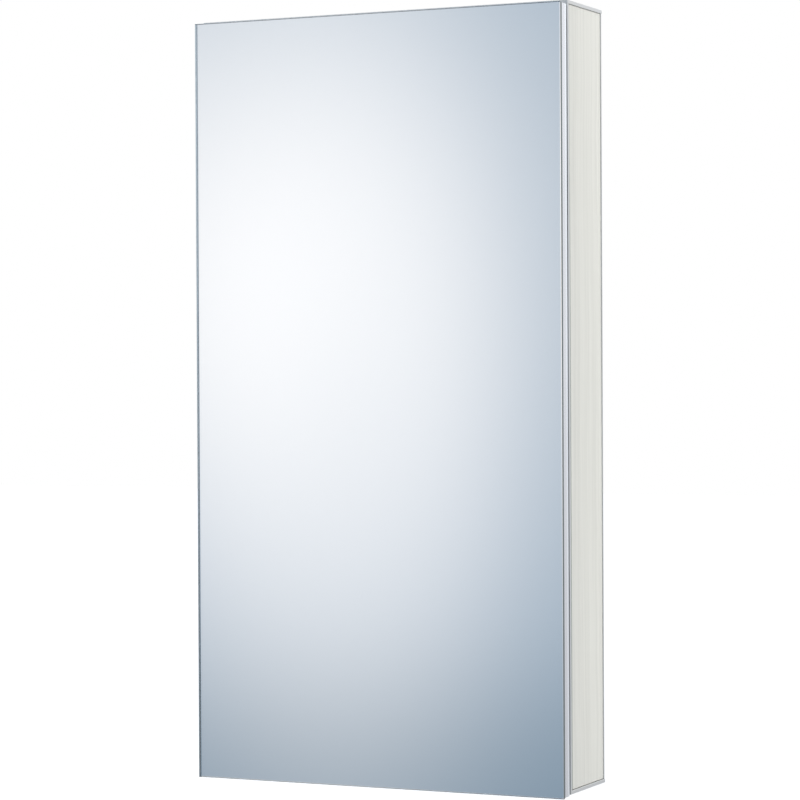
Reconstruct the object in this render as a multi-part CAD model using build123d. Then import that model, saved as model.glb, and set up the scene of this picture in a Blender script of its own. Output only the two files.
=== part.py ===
from build123d import *
import os

# Wall-hung medicine cabinet: an extruded aluminium body with white grained side panels, one
# overlay mirror door on a continuous hinge, and three glass shelves on pins. X is to the right
# as seen from the front, Y runs back to the wall, Z is up. The origin is the centre of the
# four wall screws, on the wall plane. Lengths are in millimetres.

# Cabinet body
body_width = 397.0
body_height = 763.2
body_depth = 92.0
plate_thickness = 3.6
plate_flange_height = 10.0
side_thickness = 14.0
extrusion_wall = 1.6
front_lip_depth = 3.4
rear_lip_depth = 1.0
side_rear_setback = 1.5
back_flange_width = 8.0
edge_break = 0.3
profile_edge_radius = 0.4
fit_gap = 0.2

# White side panels
side_panel_thickness = 3.0
side_panel_recess = 1.0
side_panel_gap_front = 0.5
side_panel_gap_top = 0.2
side_panel_gap_bottom = 0.5

# Back, inner back mirror and wall rails
back_panel_thickness = 3.0
back_mirror_thickness = 3.0
back_mirror_gap = 1.0
wall_rail_thickness = 3.0
wall_rail_height = 30.0
wall_screw_spacing = 280.0
wall_screw_hole_radius = 2.75

# Rivets through the back panel
rivet_radius = 1.6
rivet_head_radius = 3.2
rivet_tail_radius = 2.5
rivet_tail_length = 1.8
rivet_tail_round = 0.7
side_rivet_count = 5
plate_rivet_count = 3
rivet_end_margin = 60.0
rail_rivet_spacing = 190.0

# Screws that join the plates to the side frames
screw_port_inset = 16.0
screw_port_depth = 7.0
assembly_screw_radius = 1.8
assembly_screw_head_radius = 3.6
assembly_screw_length = 24.0
screw_clearance = 0.05
recess_width = 0.9
recess_depth = 1.1
recess_share = 0.6

# Shelves and their pins
shelf_thickness = 5.0
shelf_side_gap = 1.5
shelf_front_setback = 9.0
shelf_back_gap = 4.0
shelf_edge_break = 0.6
pin_row_spacing = 32.0
pin_rows_each_way = 8
shelf_rows = {"lower": -6, "middle": 0, "upper": 6}
pin_radius = 2.45
pin_hole_radius = 2.5
pin_port_gap = 1.5
pin_grip = 5.5
pin_reach = 9.0
pin_collar_radius = 4.0
pin_collar_thickness = 1.0
sleeve_thickness = 0.8
shelf_seat_gap = 0.1

# Door: front glass, mitred frame, core and inner mirror
door_drop_top = 3.3
door_drop_bottom = 2.1
glass_thickness = 4.0
glass_arris = 0.8
door_frame_depth = 12.0
door_frame_face = 28.0
door_frame_wall = 1.4
door_glass_overhang = 1.2
door_lip_width = 6.0
tape_thickness = 0.8
tape_width = 12.0
tape_inset = 6.0
inner_mirror_thickness = 3.0
inner_mirror_gap = 0.4
core_gap = 0.3
key_length = 42.0
key_fit = 0.2
key_screw_radius = 2.0
key_screw_length = 7.0
key_screw_from_corner = 34.0
key_screw_inset = 19.0

# Continuous hinge on the left
leaf_thickness = 1.1
leaf_gap = 0.8
leaf_reach = 13.5
hinge_end_margin = 19.1
knuckle_count = 29
knuckle_gap = 0.3
hinge_pin_radius = 1.15
pin_running_clearance = 0.05
barrel_side_gap = 0.3
hinge_screw_count = 8
hinge_screw_radius = 1.6
hinge_screw_length = 7.0
hinge_screw_inset = 9.0
hinge_screw_end_margin = 70.0

# Magnetic catches on the right, strikes and bumpers
catch_from_end = 60.0
catch_width = 12.0
catch_depth = 20.0
catch_height = 36.0
catch_wing_height = 9.0
catch_wing_thickness = 2.5
catch_screw_from_front = 8.0
catch_corner_radius = 1.2
catch_front_gap = 0.6
magnet_width = 6.0
magnet_depth = 10.0
magnet_height = 26.0
magnet_stand_out = 0.4
magnet_fit = 0.1
strike_thickness = 1.2
strike_width = 11.0
strike_height = 40.0
strike_corner_radius = 2.2
strike_screw_from_end = 5.0
small_screw_radius = 1.5
small_screw_length = 6.5
wing_screw_head_radius = 2.7
wing_screw_head_height = 1.9
wing_screw_head_round = 1.1
bumper_radius = 4.0
bumper_gap = 0.2
bumper_round = 1.0
bumper_from_side = 30.0

# Planes and faces that several pieces share
half_width = body_width / 2
top = body_height / 2
front = -body_depth
inner_face = half_width - side_thickness
web_outside = half_width - side_panel_recess - side_panel_thickness
web_inside = web_outside - extrusion_wall
hollow_width = web_inside - inner_face - extrusion_wall
port_x = inner_face + extrusion_wall + hollow_width / 2
port_ys = (front + screw_port_inset, -back_panel_thickness - extrusion_wall - screw_port_inset)
frame_top = top - plate_thickness
back_face = -back_panel_thickness
flange_front = back_face - extrusion_wall
flange_edge = inner_face - back_flange_width
side_back = -side_rear_setback

door_gap = 2 * leaf_thickness + leaf_gap
door_back = front - door_gap
door_frame_front = door_back - door_frame_depth
glass_front = door_frame_front - glass_thickness
door_top = top - door_drop_top
door_bottom = -top - door_drop_bottom
door_middle = (door_top + door_bottom) / 2
door_half_height = (door_top - door_bottom) / 2 - door_glass_overhang
lip_back = door_back - inner_mirror_thickness
lip_front = lip_back - door_frame_wall
hollow_front = door_frame_front + tape_thickness + door_frame_wall
hollow_back = door_back - door_frame_wall

wall_rail_top = frame_top - plate_flange_height - fit_gap
wall_rail_bottom = wall_rail_top - wall_rail_height
wall_screw_z = (wall_rail_top + wall_rail_bottom) / 2
catch_z = frame_top - catch_from_end

barrel_radius = hinge_pin_radius + pin_running_clearance + leaf_thickness
hinge_x = -half_width - barrel_side_gap - barrel_radius
hinge_y = (front + door_back) / 2
hinge_half_length = top - hinge_end_margin


def block(x, y, z):
    """Rectangular solid between the two limits given on each axis."""
    centre = [sum(limits) / 2 for limits in (x, y, z)]
    size = [abs(limits[1] - limits[0]) for limits in (x, y, z)]
    return Pos(*centre) * Box(*size)


def rod(axis, place, start, end, radius, end_radius=None):
    """Round solid along an axis from start to end, tapered where an end radius is given.
    Place holds its two coordinates on the other axes, in X, Y, Z order."""
    length = end - start
    solid = Cylinder(radius, length) if end_radius is None else Cone(radius, end_radius, length)
    middle = (start + end) / 2
    if axis == "X":
        return Pos(middle, *place) * Rot(0, 90, 0) * solid
    if axis == "Y":
        return Pos(place[0], middle, place[1]) * Rot(-90, 0, 0) * solid
    return Pos(*place, middle) * solid


def across(shape):
    """The same piece on the other side of the cabinet."""
    return mirror(shape, about=Plane.YZ)


def upside_down(shape):
    """The same piece at the other end of the cabinet."""
    return mirror(shape, about=Plane.XY)


def group(pieces):
    """Separate solids kept together in one node."""
    return Compound([solid for piece in pieces for solid in piece.solids()])


def spread(count, limit):
    """Evenly spaced places from minus the limit to the limit."""
    return [limit * (2 * step / (count - 1) - 1) for step in range(count)]


def cross_recess(head_radius, depth):
    """Cross-shaped recess for a screwdriver, sunk from a head whose top is at local Z = 0."""
    slot = Pos(0, 0, -depth / 2) * Box(2 * head_radius * recess_share, recess_width, depth)
    return slot + Rot(0, 0, 90) * slot


def countersunk_screw(seat, head_radius, radius, length):
    """Cross-recessed screw with a 90 degree head, flush with a seat that faces along local Z."""
    head_depth = head_radius - radius
    head = Pos(0, 0, -head_depth / 2) * Cone(radius, head_radius, head_depth)
    shank = Pos(0, 0, -length / 2) * Cylinder(radius, length)
    return seat * (head + shank - cross_recess(head_radius, min(recess_depth, head_depth)))


def countersunk_hole(seat, head_radius, radius, length):
    """Room for such a screw, with its clearance all round."""
    head_depth = head_radius - radius
    wide = head_radius + screw_clearance
    narrow = radius + screw_clearance
    head = Pos(0, 0, -head_depth / 2) * Cone(narrow, wide, head_depth)
    shank = Pos(0, 0, -length / 2) * Cylinder(narrow, length + 2 * screw_clearance)
    return seat * (head + shank)


# Seats of the fasteners: local Z points out of the screw's head.
def facing_up(x, y, z):
    return Pos(x, y, z)


def facing_back(x, y, z):
    return Pos(x, y, z) * Rot(-90, 0, 0)


def facing_front(x, y, z):
    return Pos(x, y, z) * Rot(90, 0, 0)


def facing_left(x, y, z):
    return Pos(x, y, z) * Rot(0, -90, 0)


plate_screw_seats = [facing_up(side * port_x, y, top) for side in (-1, 1) for y in port_ys]
side_rivet_xs = [side * (flange_edge + back_flange_width / 2) for side in (-1, 1)]
side_rivet_zs = spread(side_rivet_count, frame_top - rivet_end_margin)
plate_rivet_xs = spread(plate_rivet_count, flange_edge - rivet_end_margin)
plate_rivet_z = frame_top - plate_flange_height / 2
side_rivets = [(x, z) for x in side_rivet_xs for z in side_rivet_zs]
plate_rivets = [(x, side * plate_rivet_z) for side in (-1, 1) for x in plate_rivet_xs]
rail_rivets = [
    (side * rail_rivet_spacing / 2, end * wall_screw_z) for side in (-1, 1) for end in (-1, 1)
]
wall_screws = [
    (side * wall_screw_spacing / 2, end * wall_screw_z) for side in (-1, 1) for end in (-1, 1)
]
pin_zs = [row * pin_row_spacing for row in range(-pin_rows_each_way, pin_rows_each_way + 1)]
shelf_front = front + shelf_front_setback
shelf_back = back_face - back_mirror_thickness - shelf_back_gap
pin_from_port = screw_port_depth / 2 + pin_port_gap + pin_hole_radius
pin_ys = (port_ys[0] + pin_from_port, port_ys[1] - pin_from_port)
hinge_screw_zs = spread(hinge_screw_count, hinge_half_length - hinge_screw_end_margin)
hinge_screw_x = -half_width + hinge_screw_inset
hinge_screw_head = hinge_screw_radius + leaf_thickness
catch_centres = (-catch_z, catch_z)
wing_screw_offset = catch_height / 2 + catch_wing_height / 2
wing_screws = [z + side * wing_screw_offset for z in catch_centres for side in (-1, 1)]
catch_screw_y = front + catch_screw_from_front


def rivet_holes(places, start, end):
    """Straight holes for rivets along Y."""
    return [rod("Y", place, start, end, rivet_radius + screw_clearance) for place in places]


def rivet(place, grip):
    """Countersunk blind rivet: the flush head on the wall side, the swelled tail inside."""
    seat = facing_back(place[0], 0, place[1])
    depth = rivet_head_radius - rivet_radius
    head = Pos(0, 0, -depth / 2) * Cone(rivet_radius, rivet_head_radius, depth)
    length = grip + rivet_tail_length
    shank = Pos(0, 0, -length / 2) * Cylinder(rivet_radius, length)
    tail = Pos(0, 0, -grip - rivet_tail_length / 2) * Cylinder(rivet_tail_radius, rivet_tail_length)
    tail = fillet(tail.edges().group_by(Axis.Z)[0], min(rivet_tail_round, rivet_tail_length / 2))
    return seat * (head + shank + tail)


# Top and bottom plates
def end_plate():
    """Upper plate: its flanges turn down at the front opening and over the back panel."""
    plate = block((-half_width, half_width), (front, 0), (frame_top, top))
    plate = chamfer(plate.edges().filter_by(Axis.X) + plate.edges().filter_by(Axis.Y), edge_break)
    flange_z = (frame_top - plate_flange_height, frame_top)
    front_reach = inner_face - fit_gap
    back_reach = flange_edge - fit_gap
    front_flange = block((-front_reach, front_reach), (front, front + extrusion_wall), flange_z)
    back_flange = block((-back_reach, back_reach), (flange_front, back_face), flange_z)
    holes = [
        countersunk_hole(seat, assembly_screw_head_radius, assembly_screw_radius, plate_thickness)
        for seat in plate_screw_seats
    ]
    uppers = [place for place in plate_rivets if place[1] > 0]
    holes += rivet_holes(uppers, flange_front - fit_gap, back_face + fit_gap)
    return plate + front_flange + back_flange - holes


# Side frames and their white panels
def side_profile():
    """Section of the right side extrusion: two webs, lips for the outer panel, a flange that
    takes the back panel, and two ribs bored as screw ports."""
    sections = [
        ((web_inside, web_outside), (front, side_back)),
        ((inner_face, inner_face + extrusion_wall), (front, back_face)),
        ((inner_face, half_width), (front, front + extrusion_wall)),
        ((web_inside, half_width), (front, front + front_lip_depth)),
        ((flange_edge, web_outside), (flange_front, back_face)),
        ((web_inside, half_width), (side_back - rear_lip_depth, side_back)),
    ]
    half_port = screw_port_depth / 2
    sections += [
        ((inner_face, web_outside), (port_y - half_port, port_y + half_port)) for port_y in port_ys
    ]
    profile = Sketch()
    for x, y in sections:
        profile += Pos(sum(x) / 2, sum(y) / 2) * Rectangle(x[1] - x[0], y[1] - y[0])
    profile = fillet(profile.vertices().group_by(Axis.X)[-1], profile_edge_radius)
    for port_y in port_ys:
        profile -= Pos(port_x, port_y) * Circle(assembly_screw_radius + screw_clearance)
    return profile


def side_frame():
    """Right side extrusion with its shelf pin holes and rivet holes."""
    frame = Pos(0, 0, -frame_top) * extrude(side_profile(), amount=2 * frame_top)
    holes = [
        rod("X", (y, z), inner_face - fit_gap, inner_face + extrusion_wall + fit_gap, pin_hole_radius)
        for y in pin_ys
        for z in pin_zs
    ]
    rights = [place for place in side_rivets if place[0] > 0]
    holes += rivet_holes(rights, flange_front - fit_gap, back_face + fit_gap)
    return frame - holes


def hinge_holes(start, end):
    """Straight holes for the hinge screws between two Y planes."""
    radius = hinge_screw_radius + screw_clearance
    return [rod("Y", (hinge_screw_x, z), start, end, radius) for z in hinge_screw_zs]


def left_side_frame():
    """Left extrusion, bored for the hinge screws."""
    return across(side_frame()) - hinge_holes(front - fit_gap, front + extrusion_wall + fit_gap)


def right_side_frame():
    """Right extrusion, bored for the screws of the two catches."""
    radius = small_screw_radius + screw_clearance
    reach = (inner_face - fit_gap, inner_face + extrusion_wall + fit_gap)
    return side_frame() - [rod("X", (catch_screw_y, z), *reach, radius) for z in wing_screws]


def side_panel():
    """Right outer panel, glued between the lips and set back from them."""
    panel = block(
        (web_outside, half_width - side_panel_recess),
        (front + front_lip_depth + side_panel_gap_front, side_back - rear_lip_depth - fit_gap),
        (-frame_top + side_panel_gap_bottom, frame_top - side_panel_gap_top),
    )
    return chamfer(panel.edges().group_by(Axis.X)[-1], edge_break)


# Back
def back_panel():
    """Sheet that closes the back, let in between the outer webs and the plates."""
    reach = web_inside - fit_gap
    height = frame_top - fit_gap
    panel = block((-reach, reach), (back_face, 0), (-height, height))
    seats = [facing_back(x, 0, z) for x, z in side_rivets + plate_rivets + rail_rivets]
    holes = [
        countersunk_hole(seat, rivet_head_radius, rivet_radius, back_panel_thickness)
        for seat in seats
    ]
    holes += [
        rod("Y", place, back_face - fit_gap, fit_gap, wall_screw_hole_radius)
        for place in wall_screws
    ]
    return panel - holes


def wall_rail():
    """Upper stiffening rail: the wall screws pass through it and the back panel."""
    reach = flange_edge - fit_gap
    faces = (back_face - wall_rail_thickness, back_face)
    rail = block((-reach, reach), faces, (wall_rail_bottom, wall_rail_top))
    rail = chamfer(rail.edges().group_by(Axis.Y)[0], edge_break)
    cut = (faces[0] - fit_gap, faces[1] + fit_gap)
    holes = [rod("Y", place, *cut, wall_screw_hole_radius) for place in wall_screws if place[1] > 0]
    holes += rivet_holes([place for place in rail_rivets if place[1] > 0], *cut)
    return rail - holes


def back_mirror():
    """Silvered glass bonded to the back panel between the two rails."""
    reach = flange_edge - back_mirror_gap
    height = wall_rail_bottom - back_mirror_gap
    faces = (back_face - back_mirror_thickness, back_face)
    glass = block((-reach, reach), faces, (-height, height))
    return chamfer(glass.edges().group_by(Axis.Y)[0], edge_break)


# Shelves
def shelf_pin(place, side):
    """Turned pin pushed into the side frame, with a collar against the web."""
    y, z = place
    shank = rod("X", place, inner_face - pin_reach, inner_face + pin_grip, pin_radius)
    collar = rod("X", place, inner_face - pin_collar_thickness, inner_face, pin_collar_radius)
    tip = shank.edges().group_by(Axis.X)[0]
    pin = chamfer(tip, edge_break) + collar
    return pin if side > 0 else across(pin)


def pin_sleeve(place, side):
    """Soft tube on the pin, under the glass."""
    limits = (inner_face - pin_reach + edge_break, inner_face - pin_collar_thickness)
    outside = rod("X", place, *limits, pin_radius + sleeve_thickness)
    sleeve = outside - rod("X", place, *limits, pin_radius)
    return sleeve if side > 0 else across(sleeve)


def glass_shelf(row):
    """Clear glass shelf that lies on four sleeved pins."""
    reach = inner_face - shelf_side_gap
    underside = row * pin_row_spacing + pin_radius + sleeve_thickness + shelf_seat_gap
    shelf = block((-reach, reach), (shelf_front, shelf_back), (underside, underside + shelf_thickness))
    return chamfer(shelf.edges(), shelf_edge_break)


pin_places = [(y, row * pin_row_spacing) for row in shelf_rows.values() for y in pin_ys]


# Door
def frame_section():
    """Section of the door frame: u runs in from the outer edge, y runs back."""
    parts = [
        ((0, door_frame_face), (door_frame_front, door_back)),
        ((door_frame_face, door_frame_face + door_lip_width), (lip_front, lip_back)),
    ]
    voids = [
        ((door_frame_wall, door_frame_face - door_frame_wall), (hollow_front, hollow_back)),
        ((tape_inset, tape_inset + tape_width), (door_frame_front, door_frame_front + tape_thickness)),
    ]
    section = Sketch()
    for u, y in parts:
        section += Pos(sum(u) / 2, sum(y) / 2) * Rectangle(u[1] - u[0], y[1] - y[0])
    section = fillet(section.vertices().group_by(Axis.X)[0], profile_edge_radius)
    for u, y in voids:
        section -= Pos(sum(u) / 2, sum(y) / 2) * Rectangle(u[1] - u[0], y[1] - y[0])
    return section


def frame_member(outward, half_span, half_length):
    """One mitred side of the door frame. Outward points from the door's middle to its edge."""
    inward = outward * -1
    origin = Vector(0, 0, door_middle) + outward * half_span
    along = inward.cross(Vector(0, 1, 0))
    section_plane = Plane(origin=origin, x_dir=inward, z_dir=along)
    bar = extrude(section_plane * frame_section(), amount=half_length, both=True)
    reach = door_frame_face + door_lip_width
    outline = Polyline(
        (0, -half_length), (0, half_length), (reach, half_length - reach), (reach, reach - half_length),
        close=True,
    )
    mitre_plane = Plane(origin=origin, x_dir=inward, z_dir=(0, 1, 0))
    past_the_frame = -glass_front
    mitres = extrude(mitre_plane * make_face(outline), amount=past_the_frame, both=True)
    return bar & mitres


def key_screw_places():
    """Each corner key has one screw in its upright leg and one in its level leg."""
    places = []
    for x_side in (-1, 1):
        for z_side in (-1, 1):
            x_edge = x_side * half_width
            z_edge = door_middle + z_side * door_half_height
            places.append((x_edge - x_side * key_screw_inset, z_edge - z_side * key_screw_from_corner))
            places.append((x_edge - x_side * key_screw_from_corner, z_edge - z_side * key_screw_inset))
    return places


def corner_key(x_side, z_side):
    """L-shaped key inside the two hollows that meet at a corner."""
    near = door_frame_wall + key_fit
    far = door_frame_face - door_frame_wall - key_fit
    faces = (hollow_front + key_fit, hollow_back - key_fit)
    x_edge = x_side * half_width
    z_edge = door_middle + z_side * door_half_height
    x_of = [x_edge - x_side * step for step in (near, far, key_length)]
    z_of = [z_edge - z_side * step for step in (near, far, key_length)]
    upright = block(sorted((x_of[0], x_of[1])), faces, sorted((z_of[0], z_of[2])))
    level = block(sorted((x_of[0], x_of[2])), faces, sorted((z_of[0], z_of[1])))
    radius = key_screw_radius + screw_clearance
    holes = [rod("Y", place, faces[0] - key_fit, door_back, radius) for place in key_screw_places()]
    return upright + level - holes


def key_screw(place):
    """Headless screw with a cross recess, flush with the back of the frame."""
    seat = facing_back(place[0], door_back, place[1])
    shank = Pos(0, 0, -key_screw_length / 2) * Cylinder(key_screw_radius, key_screw_length)
    return seat * (shank - cross_recess(key_screw_radius, recess_depth))


def frame_holes():
    """Holes in the back wall of the door frame for keys, hinge and strikes."""
    wall = (hollow_back - fit_gap, door_back + fit_gap)
    holes = [rod("Y", place, *wall, key_screw_radius + screw_clearance) for place in key_screw_places()]
    holes += hinge_holes(*wall)
    radius = small_screw_radius + screw_clearance
    holes += [rod("Y", place, *wall, radius) for place in strike_screw_places()]
    return holes


def door_mirror():
    """Front glass, the full size of the door, with a polished arris round its face."""
    glass = block((-half_width, half_width), (glass_front, door_frame_front), (door_bottom, door_top))
    return chamfer(glass.edges().group_by(Axis.Y)[0], glass_arris)


def mirror_tape():
    """Strips of double-sided tape in the rebate of each frame member."""
    y = (door_frame_front, door_frame_front + tape_thickness)
    near = tape_inset
    far = tape_inset + tape_width
    half_length = door_half_height - far - fit_gap
    half_span = half_width - near
    strips = []
    for side in (-1, 1):
        x = sorted((side * (half_width - near), side * (half_width - far)))
        strips.append(block(x, y, (door_middle - half_length, door_middle + half_length)))
        edge = door_middle + side * door_half_height
        z = sorted((edge - side * near, edge - side * far))
        strips.append(block((-half_span, half_span), y, z))
    return group(strips)


def door_core():
    """Light board that fills the frame and backs the front glass."""
    reach = half_width - door_frame_face - core_gap
    height = door_half_height - door_frame_face - core_gap
    faces = (door_frame_front + core_gap, lip_front)
    return block((-reach, reach), faces, (door_middle - height, door_middle + height))


def door_inner_mirror():
    """Mirror let into the back of the frame, on its lip."""
    reach = half_width - door_frame_face - inner_mirror_gap
    height = door_half_height - door_frame_face - inner_mirror_gap
    glass = block((-reach, reach), (lip_back, door_back), (door_middle - height, door_middle + height))
    return chamfer(glass.edges().group_by(Axis.Y)[-1], edge_break)


# Hinge
knuckle_pitch = 2 * hinge_half_length / knuckle_count


def knuckle_limits(first):
    """Low and high ends of every second knuckle."""
    low_ends = [-hinge_half_length + index * knuckle_pitch for index in range(first, knuckle_count, 2)]
    return [(low + knuckle_gap / 2, low + knuckle_pitch - knuckle_gap / 2) for low in low_ends]


def hinge_leaf(plate_y, own, others, seats):
    """Leaf with its own rolled knuckles, cut back round those of the other leaf."""
    length = (-hinge_half_length + knuckle_gap / 2, hinge_half_length - knuckle_gap / 2)
    plate = block((hinge_x, -half_width + leaf_reach), plate_y, length)
    axis = (hinge_x, hinge_y)
    rings = [rod("Z", axis, *limits, barrel_radius) for limits in own]
    room = barrel_radius + barrel_side_gap
    cuts = [rod("Z", axis, low - knuckle_gap, high + knuckle_gap, room) for low, high in others]
    cuts.append(rod("Z", axis, *length, hinge_pin_radius + pin_running_clearance))
    cuts += [countersunk_hole(seat, hinge_screw_head, hinge_screw_radius, leaf_thickness) for seat in seats]
    return plate + rings - cuts


door_hinge_seats = [facing_back(hinge_screw_x, door_back + leaf_thickness, z) for z in hinge_screw_zs]
cabinet_hinge_seats = [facing_front(hinge_screw_x, front - leaf_thickness, z) for z in hinge_screw_zs]


def hinge_screws(seats):
    """Countersunk screws of one leaf."""
    length = leaf_thickness + hinge_screw_length
    return group(countersunk_screw(seat, hinge_screw_head, hinge_screw_radius, length) for seat in seats)


def hinge_pin():
    """Pin through all the knuckles."""
    pin = rod("Z", (hinge_x, hinge_y), -hinge_half_length, hinge_half_length, hinge_pin_radius)
    return chamfer(pin.edges(), edge_break)


# Catches, strikes and bumpers
catch_x = inner_face - catch_width / 2
catch_front = door_back + strike_thickness + catch_front_gap
magnet_front = catch_front - magnet_stand_out


def magnet_block(z, room=0.0):
    """One magnet, or with some room added, its pocket."""
    half = magnet_width / 2 + room
    height = magnet_height / 2 + room
    y = (magnet_front - room, magnet_front + magnet_depth + room)
    return block((catch_x - half, catch_x + half), y, (z - height, z + height))


def catch_housing(z):
    """Moulded catch with a wing above and below for its screws."""
    body = block((inner_face - catch_width, inner_face), (catch_front, front + catch_depth),
                 (z - catch_height / 2, z + catch_height / 2))
    body = fillet(body.edges().filter_by(Axis.Y).group_by(Axis.X)[0], catch_corner_radius)
    height = catch_height / 2 + catch_wing_height
    wings = block((inner_face - catch_wing_thickness, inner_face), (front + fit_gap, front + catch_depth),
                  (z - height, z + height))
    holes = [
        rod("X", (catch_screw_y, z + side * wing_screw_offset), inner_face - catch_width,
            inner_face + fit_gap, small_screw_radius + screw_clearance)
        for side in (-1, 1)
    ]
    return body + wings - holes - magnet_block(z, magnet_fit)


def wing_screw(z):
    """Round-headed screw through a wing into the side frame."""
    seat = facing_left(inner_face - catch_wing_thickness, catch_screw_y, z)
    height = wing_screw_head_height
    head = Pos(0, 0, height / 2) * Cylinder(wing_screw_head_radius, height)
    head = fillet(head.edges().group_by(Axis.Z)[-1], min(wing_screw_head_round, height / 2))
    shank = Pos(0, 0, -small_screw_length / 2) * Cylinder(small_screw_radius, small_screw_length)
    recess = cross_recess(wing_screw_head_radius, min(recess_depth, height))
    return seat * (head + shank - Pos(0, 0, height) * recess)


def strike_screw_places():
    """Two screws in each strike."""
    offset = strike_height / 2 - strike_screw_from_end
    return [(catch_x, z + side * offset) for z in catch_centres for side in (-1, 1)]


strike_screw_head = small_screw_radius + strike_thickness
strike_seats = [facing_back(x, door_back + strike_thickness, z) for x, z in strike_screw_places()]


def strike_plate(z):
    """Steel strike on the back of the right stile, in line with its magnet."""
    half = strike_width / 2
    plate = block((catch_x - half, catch_x + half), (door_back, door_back + strike_thickness),
                  (z - strike_height / 2, z + strike_height / 2))
    plate = fillet(plate.edges().filter_by(Axis.Y), min(strike_corner_radius, strike_width / 3))
    holes = [
        countersunk_hole(seat, strike_screw_head, small_screw_radius, strike_thickness)
        for seat in strike_seats
    ]
    return plate - holes


def bumper(x, z):
    """Soft dot on the front flange of a plate, which the closed door nearly meets."""
    dot = rod("Y", (x, z), door_back + bumper_gap, front, bumper_radius)
    return fillet(dot.edges().group_by(Axis.Y)[0], min(bumper_round, (door_gap - bumper_gap) / 2))


def save(name, shape):
    """Write one node."""
    export_step(shape, f"parts/{name}.step")


os.makedirs("parts", exist_ok=True)

upper_plate = end_plate()
save("top_plate", upper_plate)
save("bottom_plate", upside_down(upper_plate))
save("left_side_frame", left_side_frame())
save("right_side_frame", right_side_frame())
right_panel = side_panel()
save("right_side_panel", right_panel)
save("left_side_panel", across(right_panel))
save("assembly_screws", group(
    screw
    for seat in plate_screw_seats
    for upper in [countersunk_screw(
        seat, assembly_screw_head_radius, assembly_screw_radius, assembly_screw_length
    )]
    for screw in (upper, upside_down(upper))
))

save("back_panel", back_panel())
upper_rail = wall_rail()
save("upper_wall_rail", upper_rail)
save("lower_wall_rail", upside_down(upper_rail))
flange_grip = back_panel_thickness + extrusion_wall
rail_grip = back_panel_thickness + wall_rail_thickness
save("back_panel_rivets", group(rivet(place, flange_grip) for place in side_rivets + plate_rivets))
save("rail_rivets", group(rivet(place, rail_grip) for place in rail_rivets))
save("back_mirror", back_mirror())

save("shelf_pins", group(shelf_pin(place, side) for place in pin_places for side in (-1, 1)))
save("shelf_pin_sleeves", group(pin_sleeve(place, side) for place in pin_places for side in (-1, 1)))
for level, row in shelf_rows.items():
    save(f"glass_shelf_{level}", glass_shelf(row))

members = {
    "door_stile_left": (Vector(-1, 0, 0), half_width, door_half_height),
    "door_stile_right": (Vector(1, 0, 0), half_width, door_half_height),
    "door_rail_top": (Vector(0, 0, 1), door_half_height, half_width),
    "door_rail_bottom": (Vector(0, 0, -1), door_half_height, half_width),
}
for name, (outward, half_span, half_length) in members.items():
    save(name, frame_member(outward, half_span, half_length) - frame_holes())
save("door_corner_keys", group(corner_key(x, z) for x in (-1, 1) for z in (-1, 1)))
save("corner_key_screws", group(key_screw(place) for place in key_screw_places()))
save("door_mirror", door_mirror())
save("mirror_tape", mirror_tape())
save("door_core", door_core())
save("door_inner_mirror", door_inner_mirror())

cabinet_knuckles = knuckle_limits(0)
door_knuckles = knuckle_limits(1)
cabinet_leaf_y = (front - leaf_thickness, front)
door_leaf_y = (door_back, door_back + leaf_thickness)
save("hinge_leaf_cabinet", hinge_leaf(cabinet_leaf_y, cabinet_knuckles, door_knuckles, cabinet_hinge_seats))
save("hinge_leaf_door", hinge_leaf(door_leaf_y, door_knuckles, cabinet_knuckles, door_hinge_seats))
save("hinge_pin", hinge_pin())
save("hinge_screws_cabinet", hinge_screws(cabinet_hinge_seats))
save("hinge_screws_door", hinge_screws(door_hinge_seats))

save("catch_housings", group(catch_housing(z) for z in catch_centres))
save("catch_magnets", group(magnet_block(z) for z in catch_centres))
save("catch_screws", group(wing_screw(z) for z in wing_screws))
save("strike_plates", group(strike_plate(z) for z in catch_centres))
save("strike_screws", group(
    countersunk_screw(seat, strike_screw_head, small_screw_radius, small_screw_length)
    for seat in strike_seats
))
bumper_x = inner_face - bumper_from_side
save("door_bumpers", group(
    bumper(side * bumper_x, end * plate_rivet_z) for side in (-1, 1) for end in (-1, 1)
))
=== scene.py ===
import math

import bmesh
import bpy
from mathutils import Matrix, Vector


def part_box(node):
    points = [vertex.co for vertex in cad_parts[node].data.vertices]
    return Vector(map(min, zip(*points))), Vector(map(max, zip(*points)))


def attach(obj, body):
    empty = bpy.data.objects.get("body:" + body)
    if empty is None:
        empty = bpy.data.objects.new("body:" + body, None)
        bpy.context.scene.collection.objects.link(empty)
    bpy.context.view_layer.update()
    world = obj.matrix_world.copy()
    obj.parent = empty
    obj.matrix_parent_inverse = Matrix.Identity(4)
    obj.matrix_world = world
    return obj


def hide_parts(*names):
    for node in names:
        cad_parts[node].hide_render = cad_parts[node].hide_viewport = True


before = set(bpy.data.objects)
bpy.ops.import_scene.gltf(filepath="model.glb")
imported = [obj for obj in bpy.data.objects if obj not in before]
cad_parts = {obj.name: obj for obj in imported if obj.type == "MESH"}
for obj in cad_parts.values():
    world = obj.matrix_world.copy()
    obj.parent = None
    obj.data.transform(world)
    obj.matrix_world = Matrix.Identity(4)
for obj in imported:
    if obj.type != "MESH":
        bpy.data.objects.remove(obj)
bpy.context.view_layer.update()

# Viewpoint
# The cabinet is seen from its right with a long lens, level with its middle and about three
# metres away. The angles are those that bring the door's corners onto the picture's corners.
scene = bpy.context.scene
camera = bpy.data.objects.new("camera", bpy.data.cameras.new("camera"))
scene.collection.objects.link(camera)
scene.camera = camera
camera.data.sensor_width = 36.0
camera.data.lens = 128.745
viewpoint = Vector((1.2115, -2.6480, 0.0230))
turn = math.radians(25.003)
tilt = math.radians(-0.51)
roll = math.radians(-0.289)
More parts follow.
